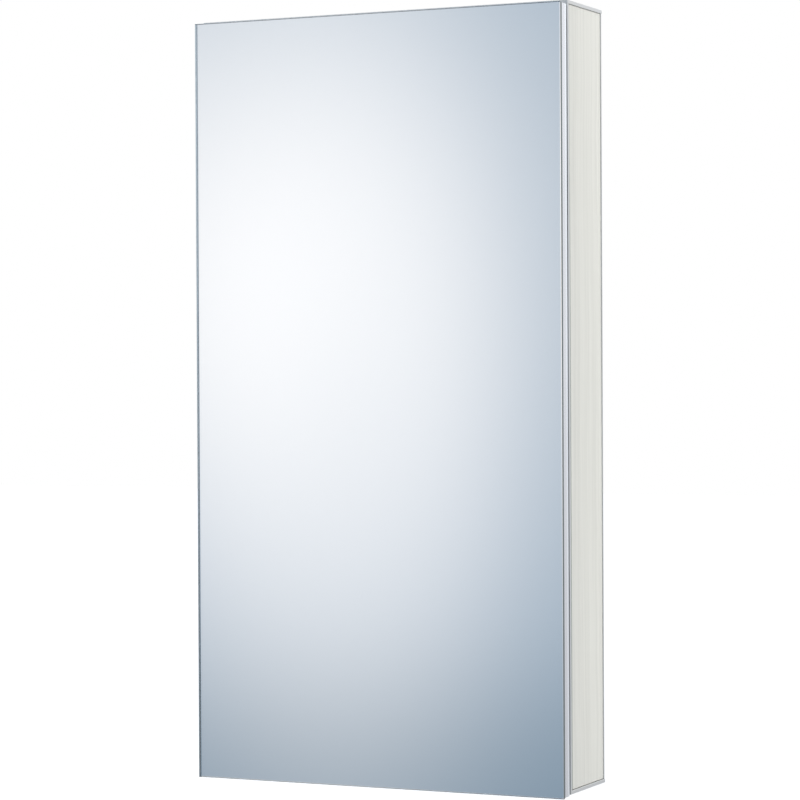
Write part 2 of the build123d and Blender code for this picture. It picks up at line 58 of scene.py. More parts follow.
camera.matrix_world = (
    Matrix.Translation(viewpoint)
    @ Matrix.Rotation(turn, 4, "Z")
    @ Matrix.Rotation(math.radians(90) + tilt, 4, "X")
    @ Matrix.Rotation(roll, 4, "Z")
)
scene.view_settings.view_transform = "Standard"

# Studio
# White all round for the camera, plain soft light for matt surfaces, and for gloss a pale blue
# room with one large soft window in front and to the left, which the mirror door shows.


def node(tree, kind, sockets=None, **settings):
    """Adds a node, sets its properties, and fills or links its sockets."""
    made = tree.nodes.new(kind)
    for name, value in settings.items():
        setattr(made, name, value)
    for key, value in (sockets or {}).items():
        if isinstance(value, bpy.types.NodeSocket):
            tree.links.new(value, made.inputs[key])
        else:
            made.inputs[key].default_value = value
    return made


def maths(tree, operation, *values):
    """Result of one arithmetic step on numbers or sockets."""
    return node(tree, "ShaderNodeMath", dict(enumerate(values)), operation=operation).outputs[0]


def ramp(tree, value, low, high, start=0.0, end=1.0):
    """Value carried smoothly from the range low..high to the range start..end."""
    sockets = {"Value": value, "From Min": low, "From Max": high, "To Min": start, "To Max": end}
    step = node(tree, "ShaderNodeMapRange", sockets, interpolation_type="SMOOTHSTEP")
    return step.outputs["Result"]


def blend_colours(tree, share, first, second, how="MIX"):
    """Colour mixed from two colours or colour sockets."""
    step = node(tree, "ShaderNodeMix", {"Factor": share}, data_type="RGBA", blend_type=how)
    for socket, value in ((step.inputs[6], first), (step.inputs[7], second)):
        if isinstance(value, bpy.types.NodeSocket):
            tree.links.new(value, socket)
        else:
            socket.default_value = (*value, 1.0)
    return step.outputs[2]


def soft_window(tree, bearing, rise, place, spread, firmness=2.0):
    """Brightness from 0 to 1 of a soft-edged window, by its bearing and rise in radians."""
    across = maths(tree, "DIVIDE", maths(tree, "SUBTRACT", bearing, place[0]), spread[0])
    up = maths(tree, "DIVIDE", maths(tree, "SUBTRACT", rise, place[1]), spread[1])
    across_squared = maths(tree, "MULTIPLY", across, across)
    distance_squared = maths(tree, "MULTIPLY_ADD", up, up, across_squared)
    falloff = maths(tree, "POWER", distance_squared, firmness / 2)
    return maths(tree, "EXPONENT", maths(tree, "MULTIPLY", falloff, -1.0))


world = bpy.data.worlds.new("studio")
scene.world = world
world.use_nodes = True
room = world.node_tree
room.nodes.clear()
ray = node(room, "ShaderNodeTexCoord").outputs["Generated"]
direction = node(room, "ShaderNodeSeparateXYZ", {0: ray})
to_left = maths(room, "MULTIPLY", direction.outputs["X"], -1.0)
to_front = maths(room, "MULTIPLY", direction.outputs["Y"], -1.0)
bearing = maths(room, "ARCTAN2", to_left, to_front)
rise = maths(room, "ARCSINE", direction.outputs["Z"])

glass_loss = Vector((1.06, 1.035, 1.04))
room_low = Vector((0.210, 0.291, 0.375)) * glass_loss
room_high = Vector((0.339, 0.432, 0.533)) * glass_loss
window_colour = Vector((0.322, 0.286, 0.250)) * glass_loss
left_colour = Vector((1.200, 1.040, 0.869)) * glass_loss
right_colour = (0.55, 0.53, 0.50)
skirting_height = -0.1106
skirting_softness = 0.016
past_skirting = maths(room, "SUBTRACT", direction.outputs["Z"], skirting_height)
skirting = maths(room, "DIVIDE", past_skirting, -skirting_softness)
above_skirting = maths(room, "DIVIDE", 1.0, maths(room, "ADD", 1.0, maths(room, "EXPONENT", skirting)))
front_room = blend_colours(room, above_skirting, room_low, room_high)
window = {"place": (0.4575, -0.0035), "spread": (0.067, 0.146), "firmness": 3.143}
left_wall = {"place": (0.887, 0.049), "spread": (0.356, 0.125)}
right_wall = {"place": (-0.80, 0.30), "spread": (0.45, 0.45)}
for patch, colour in ((window, window_colour), (left_wall, left_colour), (right_wall, right_colour)):
    glow = soft_window(room, bearing, rise, **patch)
    front_room = blend_colours(room, glow, front_room, colour, "ADD")
ceiling_colour = (0.95, 0.97, 1.0)
front_room = blend_colours(room, ramp(room, rise, 0.25, 1.2), front_room, ceiling_colour)
rear_low = (0.435, 0.455, 0.490)
rear_high = (1.200, 1.240, 1.300)
rear_floor = (0.85, 0.85, 0.86)
rear_room = blend_colours(room, ramp(room, rise, -0.45, 0.45), rear_low, rear_high)
rear_room = blend_colours(room, ramp(room, rise, -0.80, -0.35, 1.0, 0.0), rear_room, rear_floor)
gloss_room = blend_colours(room, ramp(room, direction.outputs["Y"], -0.45, 0.35), front_room, rear_room)

rays = node(room, "ShaderNodeLightPath")
plain_light = node(room, "ShaderNodeBackground", {"Color": (0.96, 0.965, 0.98, 1.0), "Strength": 0.76})
gloss_light = node(room, "ShaderNodeBackground", {"Color": gloss_room, "Strength": 1.0})
white = node(room, "ShaderNodeBackground", {"Color": (1.0, 1.0, 1.0, 1.0), "Strength": 1.0})
lit = node(room, "ShaderNodeMixShader", {
    0: rays.outputs["Is Diffuse Ray"], 1: gloss_light.outputs[0], 2: plain_light.outputs[0]})
seen = node(room, "ShaderNodeMixShader", {
    0: rays.outputs["Is Camera Ray"], 1: lit.outputs[0], 2: white.outputs[0]})
node(room, "ShaderNodeOutputWorld", {"Surface": seen.outputs[0]})


def soft_lamp(name, place, aim, width, height, watts, colour):
    """Soft lamp that points at a place on the cabinet. Neither the camera nor gloss shows it."""
    lamp = bpy.data.objects.new(name, bpy.data.lights.new(name, "AREA"))
    scene.collection.objects.link(lamp)
    lamp.data.shape = "RECTANGLE"
    lamp.data.size = width
    lamp.data.size_y = height
    lamp.data.energy = watts
    lamp.data.color = colour
    lamp.location = place
    lamp.rotation_euler = (Vector(aim) - Vector(place)).to_track_quat("-Z", "Y").to_euler()
    lamp.visible_glossy = False
    lamp.visible_camera = False


soft_lamp(
    "rear_right_strip", place=(0.35, 0.12, 0.16), aim=(0.2, -0.04, 0.16),
    width=0.1, height=1.3, watts=0.69, colour=(1.0, 0.985, 0.955))
soft_lamp(
    "upper_right_lamp", place=(0.45, 0.10, 0.55), aim=(0.2, -0.04, 0.36),
    width=0.2, height=0.3, watts=0.13, colour=(1.0, 0.99, 0.97))
soft_lamp(
    "front_lamp", place=(-1.6, -2.6, 2.2), aim=(0.0, 0.0, 0.0),
    width=2.0, height=2.0, watts=16.0, colour=(1.0, 1.0, 1.0))

# Floor
# A plain pale floor well below the wall-hung cabinet. It keeps the shadow, and gloss doesn't
# show it, so that no horizon crosses the mirror.
floor_reach = 30.0
floor_level = -1.45
floor_mesh = bpy.data.meshes.new("floor")
floor_corners = [
    (x * floor_reach, y * floor_reach, floor_level)
    for x, y in ((-1, -1), (1, -1), (1, 1), (-1, 1))
]
floor_mesh.from_pydata(floor_corners, [], [(0, 1, 2, 3)])
floor = bpy.data.objects.new("floor", floor_mesh)
scene.collection.objects.link(floor)
floor.visible_glossy = False
floor.visible_transmission = False
pale_floor = bpy.data.materials.new("pale_floor")
pale_floor.use_nodes = True
paint = pale_floor.node_tree
paint.nodes.clear()
camera_share = node(paint, "ShaderNodeLightPath").outputs["Is Camera Ray"]
matt = node(paint, "ShaderNodeBsdfDiffuse", {"Color": (0.86, 0.87, 0.88, 1.0)})
floor_lift = 0.42
lift = node(paint, "ShaderNodeEmission", {"Strength": maths(paint, "MULTIPLY", camera_share, floor_lift)})
both = node(paint, "ShaderNodeAddShader", {0: matt.outputs[0], 1: lift.outputs[0]})
node(paint, "ShaderNodeOutputMaterial", {"Surface": both.outputs[0]})
floor_mesh.materials.append(pale_floor)

# Plates, side frames and wall rails
# Aluminium sections and sheet, satin anodised. They are drawn through a die, so fine lines run
# along each length: level on the plates and rails, upright on the side frames.


def finish(name):
    """New material with an empty tree: returns the material, its tree and the object's own place."""
    made = bpy.data.materials.new(name)
    made.use_nodes = True
    made.node_tree.nodes.clear()
    return made, made.node_tree, node(made.node_tree, "ShaderNodeTexCoord").outputs["Object"]


def surface(tree, sockets):
    """Principled surface wired to the material's output."""
    shader = node(tree, "ShaderNodeBsdfPrincipled", sockets)
    node(tree, "ShaderNodeOutputMaterial", {"Surface": shader.outputs[0]})


def grain(tree, place, cells_per_metre, detail=3.0, roughness=0.55):
    """Noise with its own number of cells per metre on each axis."""
    stretched = node(tree, "ShaderNodeMapping", {"Vector": place, "Scale": cells_per_metre})
    sockets = {"Vector": stretched.outputs[0], "Scale": 1.0, "Detail": detail, "Roughness": roughness}
    return node(tree, "ShaderNodeTexNoise", sockets).outputs[0]


def bump(tree, height, strength, depth):
    """Surface normal tilted by a height."""
    sockets = {"Height": height, "Strength": strength, "Distance": depth}
    return node(tree, "ShaderNodeBump", sockets).outputs[0]


def two_patterns(tree, first, second, first_share):
    """One pattern made of two, in shares that make up a whole."""
    rest = maths(tree, "MULTIPLY", second, 1.0 - first_share)
    return maths(tree, "MULTIPLY_ADD", first, first_share, rest)


def mottled(tree, pattern, dark, pale):
    """Colour that follows a pattern from a dark to a pale tone."""
    return blend_colours(tree, ramp(tree, pattern, 0.3, 0.7), dark, pale)


def drawn_metal(name, lines_per_metre, dull, bright, rough):
    """Metal whose fine lines follow one axis, between two tones and two roughnesses."""
    made, tree, place = finish(name)
    lines = grain(tree, place, lines_per_metre)
    clouds = grain(tree, place, (7.0, 7.0, 7.0), detail=2.0)
    surface(tree, {
        "Base Color": mottled(tree, two_patterns(tree, lines, clouds, 0.6), dull, bright),
        "Metallic": 1.0,
        "Roughness": ramp(tree, lines, 0.25, 0.75, rough[0], rough[1]),
        "Normal": bump(tree, lines, strength=0.25, depth=0.00003),
    })
    return made


def dress(material, *nodes):
    """Gives CAD nodes a finished material."""
    for name in nodes:
        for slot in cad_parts[name].material_slots:
            slot.material = material


upright_lines = (1400.0, 1400.0, 9.0)
level_lines = (9.0, 1400.0, 1400.0)
satin_dull = (0.700, 0.695, 0.672)
satin_bright = (0.800, 0.790, 0.765)
satin_rough = (0.42, 0.54)
upright_satin = drawn_metal("upright_satin_aluminium", upright_lines, satin_dull, satin_bright, satin_rough)
level_satin = drawn_metal("level_satin_aluminium", level_lines, satin_dull, satin_bright, satin_rough)
dress(upright_satin, "left_side_frame", "right_side_frame")
dress(level_satin, "top_plate", "bottom_plate", "upper_wall_rail", "lower_wall_rail")

# Side panels
# Thin boards with an off-white film whose fine grain runs upright, glued into the side frames
# a little below the edges of the plates and lips. A grey line of painted shade runs just behind the front
# lip.
film_grey = (0.697, 0.694, 0.640)
film_white = (0.780, 0.775, 0.716)
painted_lip_shadow_grey = (0.270, 0.300, 0.270)
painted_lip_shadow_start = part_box("right_side_panel")[0][1] + 0.0030
painted_lip_shadow_end = painted_lip_shadow_start + 0.0008
painted_lip_shadow_share_low = 0.95
painted_lip_shadow_share_top = 0.10
grain_sway = 0.02
laminate, tree, place = finish("white_laminate")
sway = maths(tree, "MULTIPLY", grain(tree, place, (3.0, 3.0, 5.0), detail=2.0), grain_sway)
shift = node(tree, "ShaderNodeCombineXYZ", {"Y": sway}).outputs[0]
swayed = node(tree, "ShaderNodeVectorMath", {0: place, 1: shift}, operation="ADD").outputs[0]
pores = grain(tree, swayed, (900.0, 900.0, 14.0), roughness=0.6)
figure = grain(tree, swayed, (230.0, 230.0, 3.0), roughness=0.6)
film_grain = two_patterns(tree, figure, pores, 0.65)
film = mottled(tree, film_grain, film_grey, film_white)
spot = node(tree, "ShaderNodeSeparateXYZ", {0: place}).outputs
# Painted shade: a grey band just behind the front lip, strong in the lower half and faint at the top.
in_line = ramp(tree, spot["Y"], painted_lip_shadow_start, painted_lip_shadow_end, 1.0, 0.0)
by_height = ramp(tree, spot["Z"], 0.0, 0.38, painted_lip_shadow_share_low, painted_lip_shadow_share_top)
surface(tree, {
    "Base Color": blend_colours(tree, maths(tree, "MULTIPLY", in_line, by_height), film, painted_lip_shadow_grey),
    "Roughness": ramp(tree, film_grain, 0.3, 0.7, 0.52, 0.42),
    "Specular IOR Level": 0.4,
    "Normal": bump(tree, film_grain, strength=0.35, depth=0.00008),
})
dress(laminate, "left_side_panel", "right_side_panel")

# Assembly screws
# Cross-recessed countersunk screws, nickel plated. Two at each corner hold a plate onto the
# ports of the side frames, and their heads lie flush with the plate.
plated_steel = drawn_metal(
    "plated_steel", lines_per_metre=(2600.0, 2600.0, 2600.0),
    dull=(0.66, 0.66, 0.655), bright=(0.72, 0.72, 0.71), rough=(0.24, 0.30))
recess_width = 0.0009
recess_depth = 0.0011


def size_inputs(name, sizes):
    """New geometry tree with an input for the places, for each named size and for the finish."""
    tree = bpy.data.node_groups.new(name, "GeometryNodeTree")
    tree.interface.new_socket("Places", in_out="INPUT", socket_type="NodeSocketGeometry")
    for size in sizes:
        tree.interface.new_socket(size, in_out="INPUT", socket_type="NodeSocketFloat")
    tree.interface.new_socket("Finish", in_out="INPUT", socket_type="NodeSocketMaterial")
    tree.interface.new_socket("Pieces", in_out="OUTPUT", socket_type="NodeSocketGeometry")
    return tree, node(tree, "NodeGroupInput").outputs


def moved(tree, shape, by, scale=(1.0, 1.0, 1.0)):
    """Shape scaled about the origin and then moved."""
    sockets = {"Geometry": shape, "Translation": by, "Scale": scale}
    return node(tree, "GeometryNodeTransform", sockets).outputs[0]


def turned(tree, start, end, start_radius, end_radius, sides=28):
    """Round solid along Z between two heights, straight or tapered."""
    cone = node(tree, "GeometryNodeMeshCone", {
        "Vertices": sides, "Radius Bottom": start_radius, "Radius Top": end_radius,
        "Depth": maths(tree, "SUBTRACT", end, start)})
    lift = node(tree, "ShaderNodeCombineXYZ", {"Z": start})
    return moved(tree, cone.outputs["Mesh"], lift.outputs[0])


def joined(tree, *shapes):
    """Solids welded into one."""
    weld = node(tree, "GeometryNodeMeshBoolean", operation="UNION", solver="EXACT")
    for shape in shapes:
        tree.links.new(shape, weld.inputs["Mesh 2"])
    return weld.outputs["Mesh"]


def cut(tree, shape, *tools):
    """Shape with the tools taken out of it."""
    trim = node(tree, "GeometryNodeMeshBoolean", {"Mesh 1": shape}, operation="DIFFERENCE", solver="EXACT")
    for tool in tools:
        tree.links.new(tool, trim.inputs["Mesh 2"])
    return trim.outputs["Mesh"]


def cross_slots(tree, reach, width, depth, top=0.0):
    """Two crossed bars that cut a screwdriver recess down from a height."""
    bars = []
    twice = maths(tree, "MULTIPLY", depth, 2.0)
    lift = node(tree, "ShaderNodeCombineXYZ", {"Z": top}).outputs[0]
    for long_axis, short_axis in (("X", "Y"), ("Y", "X")):
        extent = {long_axis: reach, short_axis: width, "Z": twice}
        size = node(tree, "ShaderNodeCombineXYZ", extent).outputs[0]
        bar = node(tree, "GeometryNodeMeshCube", {"Size": size}).outputs["Mesh"]
        bars.append(moved(tree, bar, lift))
    return bars


def place_each(tree, inputs, piece):
    """Ends a tree: the piece at every point, its Z along the point's facing, as plain faces."""
    facing = node(tree, "GeometryNodeInputNamedAttribute", {"Name": "facing"}, data_type="FLOAT_VECTOR")
    aim = node(tree, "FunctionNodeAlignRotationToVector", {"Vector": facing.outputs["Attribute"]}, axis="Z")
    spots = node(tree, "GeometryNodeMeshToPoints", {"Mesh": inputs["Places"]})
    copies = node(tree, "GeometryNodeInstanceOnPoints", {
        "Points": spots.outputs[0], "Instance": piece, "Rotation": aim.outputs[0]})
    plain = node(tree, "GeometryNodeRealizeInstances", {0: copies.outputs[0]})
    finished = node(tree, "GeometryNodeSetMaterial", {
        "Geometry": plain.outputs[0], "Material": inputs["Finish"]})
    node(tree, "NodeGroupOutput", {"Pieces": finished.outputs[0]})


def make_pieces(name, tree, places, facing, sizes, material):
    """Plain mesh of all the like pieces on one body: one at each place, each with its facing."""
    points = bpy.data.meshes.new(name + "_places")
    points.from_pydata(places, [], [])
    directions = points.attributes.new("facing", "FLOAT_VECTOR", "POINT")
    for item, direction in zip(directions.data, facing):
        item.vector = direction
    carrier = bpy.data.objects.new(name + "_places", points)
    scene.collection.objects.link(carrier)
    modifier = carrier.modifiers.new("pieces", "NODES")
    modifier.node_group = tree
    sockets = {item.name: item.identifier for item in tree.interface.items_tree if item.in_out == "INPUT"}
    for size, value in {**sizes, "Finish": material}.items():
        modifier[sockets[size]] = value
    carrier.update_tag()
    view = bpy.context.evaluated_depsgraph_get()
    mesh = bpy.data.meshes.new_from_object(carrier.evaluated_get(view), depsgraph=view)
    carrier.modifiers.remove(modifier)
    bpy.data.objects.remove(carrier)
    mesh.name = name
    mesh.shade_smooth()
    mesh.set_sharp_from_angle(angle=math.radians(32))
    piece = bpy.data.objects.new(name, mesh)
    scene.collection.objects.link(piece)
    return piece


def stand_in(piece, body, cad_node):
    """A piece that rides on a body and stands for a CAD node."""
    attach(piece, body)
    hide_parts(cad_node)


screw_tree, given = size_inputs("countersunk_screw", (
    "Head Radius", "Head Depth", "Shank Radius", "Length", "Recess Reach", "Recess Width", "Recess Depth"))
tip_share = 0.55
land_share = 0.08
face_share = 0.97
head_bottom = maths(screw_tree, "MULTIPLY", given["Head Depth"], -1.0)
shank_bottom = maths(screw_tree, "MULTIPLY", given["Length"], -1.0)
tip_radius = maths(screw_tree, "MULTIPLY", given["Shank Radius"], tip_share)
tip_top = maths(screw_tree, "ADD", shank_bottom, given["Shank Radius"])
land = maths(screw_tree, "MULTIPLY", given["Head Depth"], -land_share)
face_radius = maths(screw_tree, "MULTIPLY", given["Head Radius"], face_share)
head = turned(screw_tree, head_bottom, land, given["Shank Radius"], given["Head Radius"])
rim = turned(screw_tree, land, 0.0, given["Head Radius"], face_radius)
shank = turned(screw_tree, tip_top, head_bottom, given["Shank Radius"], given["Shank Radius"])
tip = turned(screw_tree, shank_bottom, tip_top, tip_radius, given["Shank Radius"])
slots = cross_slots(screw_tree, given["Recess Reach"], given["Recess Width"], given["Recess Depth"])
place_each(screw_tree, given, cut(screw_tree, joined(screw_tree, head, rim, shank, tip), *slots))


def countersunk_sizes(head_radius, head_depth, shank_radius, length):
    """Sizes of a countersunk screw, with the recess that suits its head."""
    return {
        "Head Radius": head_radius,
        "Head Depth": head_depth,
        "Shank Radius": shank_radius,
        "Length": length,
        "Recess Reach": 1.2 * head_radius,
        "Recess Width": recess_width,
        "Recess Depth": min(recess_depth, head_depth),
    }


low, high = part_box("assembly_screws")
assembly_head = 0.0036
assembly_places = [
    (x, y, z)
    for x in (low[0] + assembly_head, high[0] - assembly_head)
    for y in (low[1] + assembly_head, high[1] - assembly_head)
    for z in (low[2], high[2])
]
assembly_facing = [(0.0, 0.0, math.copysign(1.0, z)) for x, y, z in assembly_places]
assembly_screws = make_pieces(
    "plate_screws", screw_tree, assembly_places, assembly_facing,
    countersunk_sizes(assembly_head, head_depth=0.0018, shank_radius=0.0018, length=0.024), plated_steel)
stand_in(assembly_screws, "cabinet", "assembly_screws")

# Back panel
# A light composite sheet with a pale satin film, let in between the webs of the side frames
# and riveted to their flanges and to those of the plates.
sheet, tree, place = finish("white_sheet")
peel = grain(tree, place, (700.0, 700.0, 700.0), detail=2.0)
clouds = grain(tree, place, (5.0, 5.0, 5.0))
surface(tree, {
    "Base Color": mottled(tree, clouds, (0.70, 0.71, 0.71), (0.76, 0.77, 0.77)),
    "Roughness": ramp(tree, peel, 0.3, 0.7, 0.38, 0.5),
    "Normal": bump(tree, peel, strength=0.2, depth=0.00005),
})
dress(sheet, "back_panel")

# Rivets
# Blind rivets of plain aluminium, set from the wall side. Their heads are countersunk in the
# back panel, and their tails swell inside the flanges or the wall rails.
rivet_metal = drawn_metal(
    "rivet_aluminium", lines_per_metre=(900.0, 900.0, 900.0),
    dull=(0.58, 0.59, 0.60), bright=(0.70, 0.71, 0.72), rough=(0.30, 0.44))
rivet_tree, given = size_inputs("blind_rivet", (
    "Head Radius", "Shank Radius", "Grip", "Tail Radius", "Tail Length"))
swell_share = 0.55
mandrel_share = 0.55
mandrel_depth_share = 0.3
head_depth = maths(rivet_tree, "SUBTRACT", given["Head Radius"], given["Shank Radius"])
head_bottom = maths(rivet_tree, "MULTIPLY", head_depth, -1.0)
tail_top = maths(rivet_tree, "MULTIPLY", given["Grip"], -1.0)
tail_waist = maths(rivet_tree, "MULTIPLY_ADD", given["Tail Length"], -swell_share, tail_top)
tail_bottom = maths(rivet_tree, "SUBTRACT", tail_top, given["Tail Length"])
mandrel_radius = maths(rivet_tree, "MULTIPLY", given["Shank Radius"], mandrel_share)
mandrel_top = maths(rivet_tree, "MULTIPLY", head_depth, -mandrel_depth_share)
head = turned(rivet_tree, head_bottom, 0.0, given["Shank Radius"], given["Head Radius"])
shank = turned(rivet_tree, tail_top, head_bottom, given["Shank Radius"], given["Shank Radius"])
tail = turned(rivet_tree, tail_waist, tail_top, given["Tail Radius"], given["Tail Radius"])
tail_end = turned(rivet_tree, tail_bottom, tail_waist, given["Shank Radius"], given["Tail Radius"])
bore = turned(rivet_tree, mandrel_top, 0.001, mandrel_radius, mandrel_radius)
place_each(rivet_tree, given, cut(rivet_tree, joined(rivet_tree, head, shank, tail, tail_end), bore))

rivet_head = 0.0032
rivet_tail_length = 0.0018


def rivets(name, cad_node, places):
    """Blind rivets at places on the wall plane, as long as their CAD node."""
    grip = -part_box(cad_node)[0][1] - rivet_tail_length
    sizes = {
        "Head Radius": rivet_head, "Shank Radius": 0.0016, "Grip": grip,
        "Tail Radius": 0.0025, "Tail Length": rivet_tail_length}
    on_wall = [(x, 0.0, z) for x, z in places]
    piece = make_pieces(name, rivet_tree, on_wall, [(0.0, 1.0, 0.0)] * len(places), sizes, rivet_metal)
    stand_in(piece, "cabinet", cad_node)


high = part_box("back_panel_rivets")[1]
flange_x = high[0] - rivet_head
flange_z = high[2] - rivet_head
side_rivet_reach = 0.318
plate_rivet_reach = 0.1165
side_places = [(side * flange_x, step * side_rivet_reach / 2) for side in (-1, 1) for step in range(-2, 3)]
plate_places = [(step * plate_rivet_reach, end * flange_z) for end in (-1, 1) for step in (-1, 0, 1)]
rivets("flange_rivets", "back_panel_rivets", side_places + plate_places)
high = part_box("rail_rivets")[1]
rail_places = [
    (side * (high[0] - rivet_head), end * (high[2] - rivet_head))
    for side in (-1, 1)
    for end in (-1, 1)
]
rivets("wall_rail_rivets", "rail_rivets", rail_places)

# Back mirror
# A sheet of 3 mm silvered glass, bonded to the back panel between the two wall rails. It shows
# when the door is open.


def clear_glass(name, tint, haze=0.012):
    """Clear float glass with hardly any haze."""
    made, tree, place = finish(name)
    dust = grain(tree, place, (12.0, 12.0, 12.0), detail=2.0)
    surface(tree, {
        "Base Color": (*tint, 1.0),
        "Roughness": ramp(tree, dust, 0.3, 0.7, 0.0, haze),
        "IOR": 1.52,
        "Transmission Weight": 1.0,
    })
    return made


def silvering(name, tone):
    """Silver seen through clear glass, with the faintest unevenness."""
    made, tree, place = finish(name)
    ripple = grain(tree, place, (6.0, 6.0, 6.0), detail=1.0)
    surface(tree, {
        "Base Color": (*tone, 1.0),
        "Metallic": 1.0,
        "Roughness": ramp(tree, ripple, 0.0, 1.0, 0.012, 0.022),
    })
    return made


paint_thickness = 0.0001
square_on = 0.999


def glass_sheet(name, cad_node, arris, clear_side, materials):
    """Closed sheet of glass, whose materials are those of its clear face, its other face and its
    cut edges. The clear side is -1 or 1 along the thin axis and has the arris, or 0 for both."""
    shape = bmesh.new()
    low, high = (Vector(corner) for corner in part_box(cad_node))
    thin = min(range(3), key=lambda axis: high[axis] - low[axis])
    if clear_side < 0:
        high[thin] -= paint_thickness
    elif clear_side > 0:
        low[thin] += paint_thickness
    middle = (low + high) / 2
    bmesh.ops.create_cube(shape, size=1.0)
    bmesh.ops.scale(shape, vec=high - low, verts=shape.verts)
    bmesh.ops.translate(shape, vec=middle, verts=shape.verts)
    rims = [
        edge for edge in shape.edges if clear_side == 0
        or all((corner.co[thin] - middle[thin]) * clear_side > 0 for corner in edge.verts)
    ]
    bmesh.ops.bevel(shape, geom=rims, offset=arris, segments=3, profile=0.5, affect="EDGES")
    bmesh.ops.recalc_face_normals(shape, faces=shape.faces)
    for face in shape.faces:
        if abs(face.normal[thin]) > square_on:
            face.material_index = 1 if face.normal[thin] * clear_side < 0 else 0
        elif max(abs(part) for part in face.normal) > square_on:
            face.material_index = 2
    mesh = bpy.data.meshes.new(name)
    shape.to_mesh(mesh)
    shape.free()
    for material in materials:
        mesh.materials.append(material)
    piece = bpy.data.objects.new(name, mesh)
    scene.collection.objects.link(piece)
    return piece


ground_edge_and_painted_glint, tree, place = finish("ground_edge_and_painted_glint")
marks = grain(tree, place, (900.0, 2500.0, 900.0))
spot = node(tree, "ShaderNodeSeparateXYZ", {0: place}).outputs
pane_low, pane_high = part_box("door_mirror")
pane_middle = (pane_low[2] + pane_high[2]) / 2
pane_half = (pane_high[2] - pane_low[2]) / 2
# Painted glint: the dark cut edges turn pale and metallic towards the hinge side, more so higher up, and
# along the top and bottom ends of the pane.
by_height = ramp(tree, spot["Z"], -0.40, 0.30, 0.5, 1.0)
painted_hinge_glint = maths(tree, "MULTIPLY", ramp(tree, spot["X"], -0.18, 0.0, 1.0, 0.0), by_height)
from_middle = maths(tree, "ABSOLUTE", maths(tree, "SUBTRACT", spot["Z"], pane_middle))
painted_end_glint = ramp(tree, from_middle, pane_half - 0.0010, pane_half - 0.0003)
painted_glint = maths(tree, "MAXIMUM", painted_hinge_glint, painted_end_glint)
painted_glint_colour = (0.60, 0.64, 0.66)
dark_edge = mottled(tree, marks, (0.060, 0.078, 0.078), (0.100, 0.122, 0.120))
surface(tree, {
    "Base Color": blend_colours(tree, painted_glint, dark_edge, painted_glint_colour),
    "Metallic": painted_glint,
    "Roughness": ramp(tree, marks, 0.3, 0.7, 0.16, 0.28),
    "Specular IOR Level": 0.5,
    "Normal": bump(tree, marks, strength=0.15, depth=0.00003),
})
inner_silver = silvering("inner_silver", (0.93, 0.945, 0.94))
inner_glass = clear_glass("inner_glass", (0.985, 0.995, 0.99), haze=0.006)
inner_arris = 0.0006
inner_finishes = (inner_glass, inner_silver, ground_edge_and_painted_glint)
back_pane = glass_sheet("back_pane", "back_mirror", inner_arris, -1, inner_finishes)
stand_in(back_pane, "cabinet", "back_mirror")

# Glass shelves
# Three 5 mm shelves of clear float glass with ground and polished edges. The glass looks
# colourless through its faces and green through its edges. Each lies loose on four pins.
shelf_face_glass = clear_glass("shelf_glass", (0.955, 0.985, 0.975))
shelf_edge_glass = clear_glass("shelf_edge_glass", (0.50, 0.80, 0.70), haze=0.12)
shelf_arris = 0.0006
shelf_glasses = (shelf_face_glass, shelf_face_glass, shelf_edge_glass)
for level in ("lower", "middle", "upper"):
    cad_shelf = "glass_shelf_" + level
    shelf = glass_sheet(level + "_shelf", cad_shelf, shelf_arris, 0, shelf_glasses)
    stand_in(shelf, "shelf_" + level, cad_shelf)

# Shelf pins and sleeves
# Turned, plated pins with a collar, pushed into the rows of holes, four to a shelf. A short
# soft tube of clear silicone on each pin keeps the glass off the metal.
pin_box_low, pin_box_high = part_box("shelf_pins")
pin_collar = 0.004
pin_reach = 0.009
pin_face = 0.1845
pin_places = [
    (side * pin_face, y, z)
    for side in (-1, 1)
    for y in (pin_box_low[1] + pin_collar, pin_box_high[1] - pin_collar)
    for z in (pin_box_low[2] + pin_collar, 0.0, pin_box_high[2] - pin_collar)
]
pin_facing = [(-math.copysign(1.0, x), 0.0, 0.0) for x, y, z in pin_places]
pin_tree, given = size_inputs("shelf_pin", (
    "Radius", "Reach", "Grip", "Collar Radius", "Collar Thickness", "Tip"))
pin_sides = 40
collar_edge_share = 0.7
tip_start = maths(pin_tree, "SUBTRACT", given["Reach"], given["Tip"])
tip_radius = maths(pin_tree, "SUBTRACT", given["Radius"], given["Tip"])
root = maths(pin_tree, "MULTIPLY", given["Grip"], -1.0)
rim_start = maths(pin_tree, "MULTIPLY", given["Collar Thickness"], collar_edge_share)
rim_radius = maths(pin_tree, "SUBTRACT", given["Collar Radius"], given["Tip"])
shank = turned(pin_tree, root, tip_start, given["Radius"], given["Radius"], pin_sides)
tip = turned(pin_tree, tip_start, given["Reach"], given["Radius"], tip_radius, pin_sides)
collar = turned(pin_tree, 0.0, rim_start, given["Collar Radius"], given["Collar Radius"], pin_sides)
rim = turned(pin_tree, rim_start, given["Collar Thickness"], given["Collar Radius"], rim_radius, pin_sides)
place_each(pin_tree, given, joined(pin_tree, shank, tip, collar, rim))
pin_radius = 0.00245
pins = make_pieces("pins", pin_tree, pin_places, pin_facing, {
    "Radius": pin_radius, "Reach": pin_reach, "Grip": 0.0055, "Collar Radius": pin_collar,
    "Collar Thickness": 0.001, "Tip": 0.0003}, plated_steel)
stand_in(pins, "cabinet", "shelf_pins")

